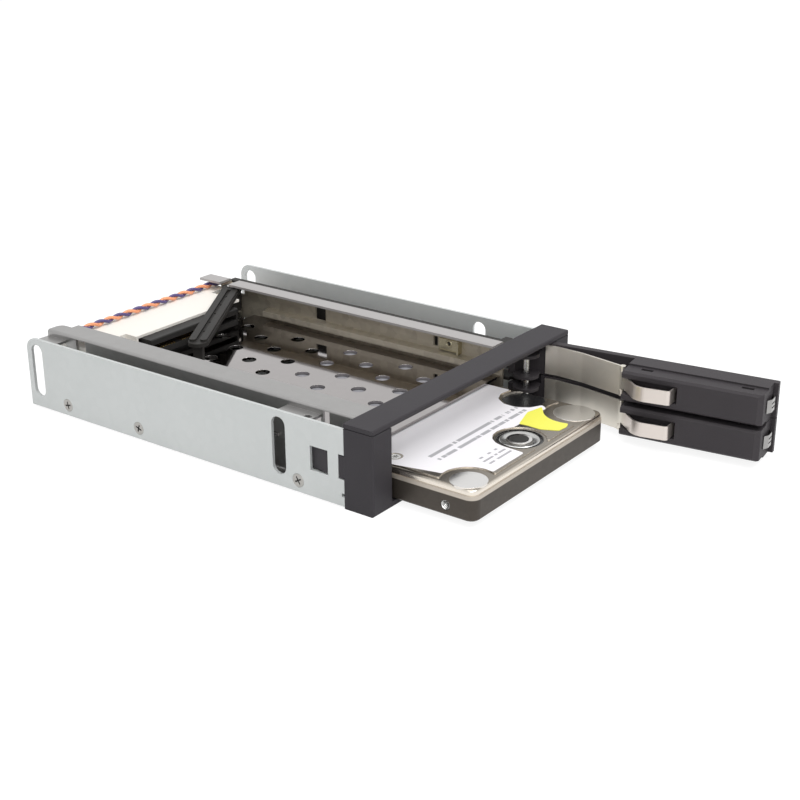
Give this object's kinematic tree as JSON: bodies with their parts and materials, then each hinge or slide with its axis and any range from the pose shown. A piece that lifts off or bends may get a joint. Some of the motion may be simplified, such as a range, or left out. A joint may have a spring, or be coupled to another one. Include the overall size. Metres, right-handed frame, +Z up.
{
  "type": "hot-swap drive rack with backplane",
  "caption": "Sheet-metal rack for a 3.5-inch bay holding stacked 2.5-inch drives behind side-hinged doors, with a rear backplane, ejector arms and a drive part-way out.",
  "frame": {"origin": "underside of the base tray, midway along the rack's depth and width", "axes": "+X to the right seen from the front, +Y to the rear where the backplane is, +Z up"},
  "size_m": [0.1024, 0.2109, 0.0254],
  "materials": {
    "bezel_plastic": "fine moulded grain, dark grey",
    "door_plastic": "fine moulded grain, dark grey",
    "zinc_sheet": "satin zinc-coated sheet",
    "cage_sheet": "satin zinc-coated sheet",
    "bright_sheet": "bright nickel-plated sheet",
    "spring_steel": "bright spring steel",
    "pin_steel": "ground steel",
    "screw_steel": "plated screws",
    "circuit_board": "solder mask green",
    "connector_black": "moulded black",
    "cover_white": "cream-white insulating plastic",
    "wire_sheath": "twisted wires, orange and purple",
    "clear_plastic": "clear light pipe",
    "arm_plastic": "glass-filled black plastic",
    "drive_casting": "dark brown-grey coated casting",
    "drive_lid": "champagne stamped lid"
  },
  "bodies": {
    "chassis": {"backplane_board": "circuit_board", "base_tray": "zinc_sheet", "bezel": "bezel_plastic", "board_screws": "screw_steel", "detent_clip": "bright_sheet", "harness_plug": "cover_white", "hinge_pin": "pin_steel", "insulating_cover": "cover_white", "left_cage_wall": "cage_sheet", "left_data_port": "connector_black", "left_side_plate": "zinc_sheet", "light_board": "circuit_board", "light_pipes": "clear_plastic", "lower_drive_socket": "connector_black", "middle_shelf": "bright_sheet", "pivot_pin": "pin_steel", "pivot_spacers": "pin_steel", "power_inlet": "connector_black", "right_cage_wall": "cage_sheet", "right_data_port": "connector_black", "right_side_plate": "zinc_sheet", "side_plate_screws": "screw_steel", "upper_drive_socket": "connector_black", "wire_harness": "wire_sheath"},
    "drive": {"drive_board": "circuit_board", "drive_casting": "drive_casting", "drive_lid": "drive_lid", "drive_lid_screws": "screw_steel", "drive_plug": "connector_black"},
    "lower_door": {"lower_catch_clip": "spring_steel", "lower_door_body": "door_plastic", "lower_door_front": "door_plastic", "lower_door_spring": "spring_steel"},
    "lower_ejector_arm": {"lower_ejector_arm": "arm_plastic"},
    "lower_push_bar": {"lower_push_bar": "arm_plastic"},
    "upper_door": {"upper_catch_clip": "spring_steel", "upper_door_body": "door_plastic", "upper_door_front": "door_plastic", "upper_door_spring": "spring_steel"},
    "upper_ejector_arm": {"upper_ejector_arm": "arm_plastic"},
    "upper_push_bar": {"upper_push_bar": "arm_plastic"}
  },
  "joints": [
    {"name": "upper_door_swing", "type": "hinge", "parent": "chassis", "child": "upper_door", "pos_m": [0.036, -0.0637, 0], "axis": [0, 0, 1], "range_deg": [-97, 0]},
    {"name": "upper_push_slide", "type": "slide", "parent": "chassis", "child": "upper_push_bar", "axis": [0, 1, 0], "range_m": [-0.0045, 0]},
    {"name": "upper_ejector_swing", "type": "hinge", "parent": "chassis", "child": "upper_ejector_arm", "pos_m": [0.029, 0.055, 0], "axis": [0, 0, 1], "range_deg": [-28, 0]},
    {"name": "lower_door_swing", "type": "hinge", "parent": "chassis", "child": "lower_door", "pos_m": [0.036, -0.0637, 0], "axis": [0, 0, 1], "range_deg": [-97, 0]},
    {"name": "lower_push_slide", "type": "slide", "parent": "chassis", "child": "lower_push_bar", "axis": [0, 1, 0], "range_m": [-0.0045, 0]},
    {"name": "lower_ejector_swing", "type": "hinge", "parent": "chassis", "child": "lower_ejector_arm", "pos_m": [0.029, 0.055, 0], "axis": [0, 0, 1], "range_deg": [-28, 0]},
    {"name": "drive_slide", "type": "slide", "parent": "chassis", "child": "drive", "axis": [0, 1, 0], "range_m": [0, 0.0434]}
  ],
  "couplings": [
    {"joint": "upper_push_slide", "follows": "upper_door_swing", "m_per_rad": 0.0026544},
    {"joint": "upper_ejector_swing", "follows": "upper_door_swing", "ratio": 0.28865},
    {"joint": "lower_push_slide", "follows": "lower_door_swing", "m_per_rad": 0.0026544},
    {"joint": "lower_ejector_swing", "follows": "lower_door_swing", "ratio": 0.28865},
    {"joint": "drive_slide", "follows": "lower_door_swing", "m_per_rad": -0.025576}
  ]
}
